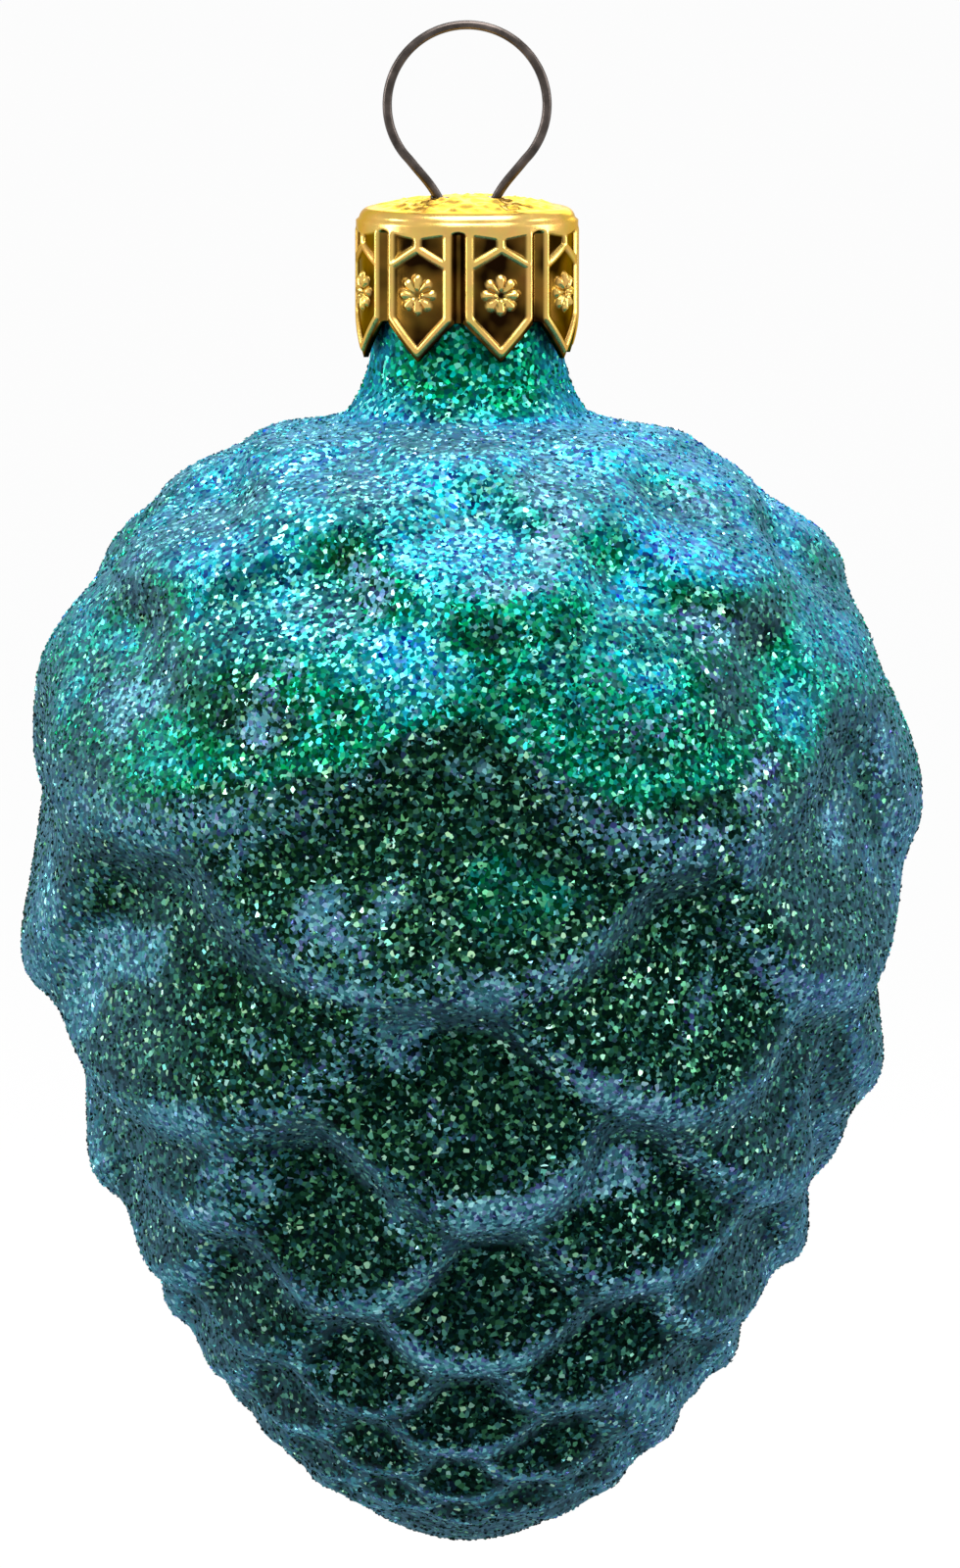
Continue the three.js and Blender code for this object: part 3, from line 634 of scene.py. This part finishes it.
FRAME_LINES = [
    ((0, BRIM_DROP), (0, GABLE_TOP)), ((0, GABLE_TOP), (FRAME_SIDE, GABLE_FOOT)),
    ((FRAME_SIDE, BRIM_DROP + 0.2), (FRAME_SIDE, PANEL_VALLEY - POINT_INSET / 2)),
    ((FRAME_SIDE, PANEL_VALLEY - POINT_INSET / 2), (0, PANEL_POINT - POINT_INSET)),
]


def ease(x, low, high):
    t = min(max((x - low) / (high - low), 0), 1)
    return t * t * (3 - 2 * t)


def emboss(x, drop):
    """How far the panel's face stands out, x from its middle line and this far down."""
    side = abs(x)
    nearest = 9.0
    for (ax, ay), (bx, by) in FRAME_LINES:
        dx, dy = bx - ax, by - ay
        along = ((side - ax) * dx + (drop - ay) * dy) / (dx * dx + dy * dy)
        t = min(max(along, 0), 1)
        nearest = min(nearest, hypot(side - ax - t * dx, drop - ay - t * dy))
    height = FRAME_RISE * ease(nearest, *FRAME_SLOPE)
    r, turn = hypot(x, drop - ROSETTE_DROP), atan2(x, drop - ROSETTE_DROP)
    petal = abs(cos(turn * PETALS / 2)) ** PETAL_POWER
    end = ROSETTE_R * (1 - PETAL_NOTCH * (1 - petal))
    height += PETAL_RISE * petal * ease(r, *ROSETTE_EYE) * ease(r, end, end - PETAL_ROUND)
    height -= GROOVE_DEPTH * ease(side, *GROOVE_SIDES)
    # The brim's lower edge zigzags: lowest at the stems, highest at the grooves
    brim_edge = BRIM_DROP + BRIM_EDGE + BRIM_ZIGZAG * (1 - side / PANEL_HALF)
    under_brim = ease(drop - brim_edge, *BRIM_STEP)
    return BRIM_BULGE * (1 - under_brim) * ease(drop, 0, BRIM_DROP) + height * under_brim


# One eighth of the sheet: rows from the middle of the disc out to the brim, then down the
# panel to its pointed edge. Crest says how much of the stamp's height a point has, for the
# painted shade in the recesses
COLUMNS, DISC_ROWS, BRIM_ROWS, PANEL_ROWS = 44, 26, 8, 84
points, crests, faces = [], [], []
for k in range(DISC_ROWS + BRIM_ROWS + PANEL_ROWS + 1):
    for i in range(COLUMNS + 1):
        x = PANEL_HALF * (2 * i / COLUMNS - 1)
        a = x / CAP_R
        if k < DISC_ROWS:
            r = DISC_R * (k + 0.4) / (DISC_ROWS + 0.4)
            z = CAP_TOP - DOME_RISE * (r / DISC_R) ** 2
            crest = 1.0
        elif k < DISC_ROWS + BRIM_ROWS:
            t = (k - DISC_ROWS) / BRIM_ROWS * pi / 2
            r = DISC_R + (CAP_R - DISC_R) * sin(t)
            z = CAP_TOP - DOME_RISE - BRIM_DROP * (1 - cos(t))
            crest = 1.0
        else:
            t = (k - DISC_ROWS - BRIM_ROWS) / PANEL_ROWS
            slant = min(abs(x) / VALLEY_SIDE, 1)
            edge = PANEL_POINT + (PANEL_VALLEY - PANEL_POINT) * slant
            drop = BRIM_DROP + (edge - BRIM_DROP) * t
            rise = emboss(x, drop)
            r = CAP_R + rise
            z = CAP_TOP - DOME_RISE - drop
            crest = min(max((rise + 0.04) / FRAME_RISE, 0), 1)
        points.append((r * sin(a) * MM, -r * cos(a) * MM, z * MM))
        crests.append(crest)
width = COLUMNS + 1
for k in range(DISC_ROWS + BRIM_ROWS + PANEL_ROWS):
    for i in range(COLUMNS):
        a, b = k * width + i, (k + 1) * width + i
        faces.append((a, b, b + 1, a + 1))
points.append((0, 0, CAP_TOP * MM))
crests.append(1.0)
faces += [(len(points) - 1, i, i + 1) for i in range(COLUMNS)]
eighth = bpy.data.meshes.new("one eighth of the cap")
eighth.from_pydata(points, [], faces)
eighth.attributes.new("crest", "FLOAT", "POINT").data.foreach_set("value", crests)

stamped, given = new_tree("stamped crown", [
    ("Geometry", SHAPE), ("Panels", "NodeSocketInt"), ("Turn", NUMBER), ("Disc Radius", NUMBER),
    ("Pebble Size", NUMBER), ("Pebble Height", NUMBER), ("Material", "NodeSocketMaterial")],
    [("Geometry", SHAPE)])
index = add(stamped, "GeometryNodeInputIndex")
spots = add(stamped, "GeometryNodeMeshLine", given["Panels"], named={"Offset": (0, 0, 0)})
step = add(stamped, MATH, tau, given["Panels"], operation="DIVIDE")
turned = add(stamped, MATH, index, step, given["Turn"], operation="MULTIPLY_ADD")
spin = add(stamped, "ShaderNodeCombineXYZ", named={"Z": turned})
copies = add(stamped, "GeometryNodeInstanceOnPoints", spots,
             named={"Instance": given["Geometry"], "Rotation": spin})
whole = add(stamped, "GeometryNodeRealizeInstances", copies)
joined = add(stamped, "GeometryNodeMergeByDistance", whole, named={"Distance": 0.004 * MM})
where = add(stamped, "GeometryNodeInputPosition")
axes = add(stamped, "ShaderNodeSeparateXYZ", where)
flat_place = add(stamped, "ShaderNodeCombineXYZ", axes.outputs["X"], axes.outputs["Y"])
reach = add(stamped, "ShaderNodeVectorMath", flat_place, operation="LENGTH")
inside = add(stamped, MATH, given["Disc Radius"], reach.outputs["Value"], operation="SUBTRACT")
on_disc = add(stamped, MAP, inside, 0.0, 0.5 * MM)
above = add(stamped, MAP, axes.outputs["Z"], (CAP_TOP - DOME_RISE - 0.2) * MM,
            (CAP_TOP - DOME_RISE) * MM)
pebbled = add(stamped, MATH, on_disc, above, operation="MULTIPLY")
density = add(stamped, MATH, 1.0, given["Pebble Size"], operation="DIVIDE")
pebble = add(stamped, "ShaderNodeTexVoronoi", named={"Vector": where, "Scale": density},
             feature="SMOOTH_F1")
dome = add(stamped, MATH, PEBBLE_LEVEL, pebble, operation="SUBTRACT")
lift = add(stamped, MATH, dome, given["Pebble Height"], operation="MULTIPLY")
lifted = add(stamped, MATH, lift, pebbled, operation="MULTIPLY")
shift = add(stamped, "ShaderNodeCombineXYZ", named={"Z": lifted})
moved = add(stamped, "GeometryNodeSetPosition", joined, named={"Offset": shift})
smooth = add(stamped, "GeometryNodeSetShadeSmooth", moved)
add(stamped, "NodeGroupOutput", add(stamped, "GeometryNodeSetMaterial", smooth,
                                    named={"Material": given["Material"]}))

# Gilt brass, bright where the stamp stands out; its recesses are painted dark brown, as painted
# shade and dark reflection
gilt, nodes = new_material("gilt stamped brass")
where = add(nodes, "ShaderNodeTexCoord").outputs["Object"]
crest = add(nodes, "ShaderNodeAttribute", attribute_name="crest")
bright = add(nodes, MAP, crest.outputs["Fac"], 0.24, 0.85)
patina = add(nodes, "ShaderNodeTexNoise", named={"Vector": where, "Scale": 1 / (1.2 * MM),
                                                 "Detail": 3.0})
# Painted shade and reflection in the recesses, darker in some places than in others
recess = add(nodes, "ShaderNodeTexNoise", named={"Vector": where, "Scale": 1 / (3.2 * MM)})
painted_recess_shade = add(nodes, "ShaderNodeValToRGB", recess, stops=[(0.42, "#1C0F04"), (0.62, "#7A5A22")])
gold_and_painted_shade = add(nodes, "ShaderNodeMix", data_type="RGBA", named={
    "Factor": bright, "A": painted_recess_shade.outputs["Color"], "B": linear("#E8BF68")})
worn = add(nodes, "ShaderNodeMix", data_type="RGBA", blend_type="MULTIPLY", named={
    "Factor": 0.35, "A": gold_and_painted_shade.outputs["Result"], "B": patina.outputs["Color"]})
dull = add(nodes, MAP, patina, 0.3, 0.7, 0.17, 0.3)
# Fine lines of the rolled sheet, 0.08 mm apart
rolled = add(nodes, "ShaderNodeMapping", where, named={"Scale": (1, 1, 0.06)})
lines = add(nodes, "ShaderNodeTexNoise", named={"Vector": rolled, "Scale": 1 / (0.16 * MM)})
fine = add(nodes, "ShaderNodeBump", named={"Strength": 0.12, "Distance": 0.02 * MM,
                                           "Height": lines.outputs[0]})
metal = add(nodes, "ShaderNodeBsdfPrincipled", named={
    "Base Color": worn.outputs["Result"], "Metallic": 1.0, "Roughness": dull.outputs[0],
    "Normal": fine, "Specular Tint": linear("#E8D09A")})
add(nodes, "ShaderNodeOutputMaterial", metal)
sheet_source = bpy.data.objects.new("cap source", eighth)
scene.collection.objects.link(sheet_source)
cap = grow("stamped_crown_cap", sheet_source, stamped, **{
    "Panels": PANELS, "Turn": PANEL_TURN, "Disc Radius": DISC_R * MM,
    "Pebble Size": PEBBLE_SIZE * MM, "Pebble Height": PEBBLE_HEIGHT * MM, "Material": gilt})
thick = cap.modifiers.new("sheet", "SOLIDIFY")
thick.thickness, thick.offset = CAP_SHEET * MM, -1
drills = bmesh.new()
for side in (-1, 1):
    made = bmesh.ops.create_cone(drills, cap_ends=True, segments=28, radius1=HOLE_R * MM,
                                 radius2=HOLE_R * MM, depth=DRILL_LENGTH * MM)
    bmesh.ops.translate(drills, verts=made["verts"],
                        vec=(side * HOLE_X * MM, 0, DRILL_Z * MM))
drill_mesh = bpy.data.meshes.new("drills")
drills.to_mesh(drill_mesh)
drill = bpy.data.objects.new("drills", drill_mesh)
scene.collection.objects.link(drill)
holes = cap.modifiers.new("wire holes", "BOOLEAN")
holes.object, holes.operation, holes.solver = drill, "DIFFERENCE", "EXACT"
depsgraph = bpy.context.evaluated_depsgraph_get()
finished = bpy.data.meshes.new_from_object(cap.evaluated_get(depsgraph),
                                           preserve_all_data_layers=True, depsgraph=depsgraph)
cap.modifiers.clear()
cap.data = finished
bpy.data.objects.remove(drill)
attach(cap, "cap")
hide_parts("crown_cap")

# ---- Hanger wire --------------------------------------------------------------------------
# One length of hard-drawn steel wire, bent to a ring. Its two legs pass through the cap,
# splay inside the neck and hold by their spring.
WIRE_R, WIRE_STEP = 0.275, 0.18
RING_R, RING_OPENING, RING_SPANS = 4.65, radians(45), 32
# Across and height, from the end of a leg up to its hole
LEG = [(4.075, -17.325), (3.2425, -15.125), (1.9105, -12.625), (1.3, -11.025),
       (HOLE_X, -9.925)]
RING_Z = WIRE_R - RING_R
path_points = list(LEG)
for i in range(RING_SPANS + 1):
    a = RING_OPENING + (tau - 2 * RING_OPENING) * i / RING_SPANS
    path_points.append((RING_R * sin(a), RING_Z - RING_R * cos(a)))
path_points += [(-x, z) for x, z in LEG[::-1]]
route = bpy.data.curves.new("wire route", "CURVE")
route.dimensions = "3D"
spline = route.splines.new("BEZIER")
spline.bezier_points.add(len(path_points) - 1)
for point, (x, z) in zip(spline.bezier_points, path_points):
    point.co = (x * MM, 0, z * MM)
    point.handle_left_type = point.handle_right_type = "AUTO"
wire_source = bpy.data.objects.new("wire source", route)
scene.collection.objects.link(wire_source)

drawn, given = new_tree("drawn wire", [
    ("Geometry", SHAPE), ("Radius", NUMBER), ("Step", NUMBER),
    ("Material", "NodeSocketMaterial")], [("Geometry", SHAPE)])
even = add(drawn, "GeometryNodeResampleCurve", given["Geometry"], mode="LENGTH",
           named={"Length": given["Step"]})
section = add(drawn, "GeometryNodeCurvePrimitiveCircle", named={"Resolution": 24,
                                                               "Radius": given["Radius"]})
swept = add(drawn, "GeometryNodeCurveToMesh", even, section, named={"Fill Caps": True})
smooth = add(drawn, "GeometryNodeSetShadeSmooth", swept)
whole = add(drawn, "GeometryNodeRealizeInstances", smooth)
add(drawn, "NodeGroupOutput", add(drawn, "GeometryNodeSetMaterial", whole,
                                  named={"Material": given["Material"]}))

# Drawn steel wire: dark, with fine lines and a faint mottle from handling
steel, nodes = new_material("drawn spring steel")
where = add(nodes, "ShaderNodeTexCoord").outputs["Object"]
mottle = add(nodes, "ShaderNodeTexNoise", named={"Vector": where, "Scale": 1 / (0.9 * MM),
                                                 "Detail": 3.0})
shade = add(nodes, "ShaderNodeValToRGB", mottle, stops=[(0.3, "#3A3532"), (0.7, "#5C5450")])
rough = add(nodes, MAP, mottle, 0.3, 0.7, 0.28, 0.42)
scratch = add(nodes, "ShaderNodeTexNoise", named={"Vector": where, "Scale": 1 / (0.1 * MM)})
fine = add(nodes, "ShaderNodeBump", named={"Strength": 0.15, "Distance": 0.01 * MM,
                                           "Height": scratch.outputs[0]})
metal = add(nodes, "ShaderNodeBsdfPrincipled", named={
    "Base Color": shade.outputs["Color"], "Metallic": 1.0, "Roughness": rough.outputs[0],
    "Normal": fine})
add(nodes, "ShaderNodeOutputMaterial", metal)
wire = grow("spring_wire_hanger", wire_source, drawn, Radius=WIRE_R * MM,
            Step=WIRE_STEP * MM, Material=steel)
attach(wire, "hanger")
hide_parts("hanger_wire")
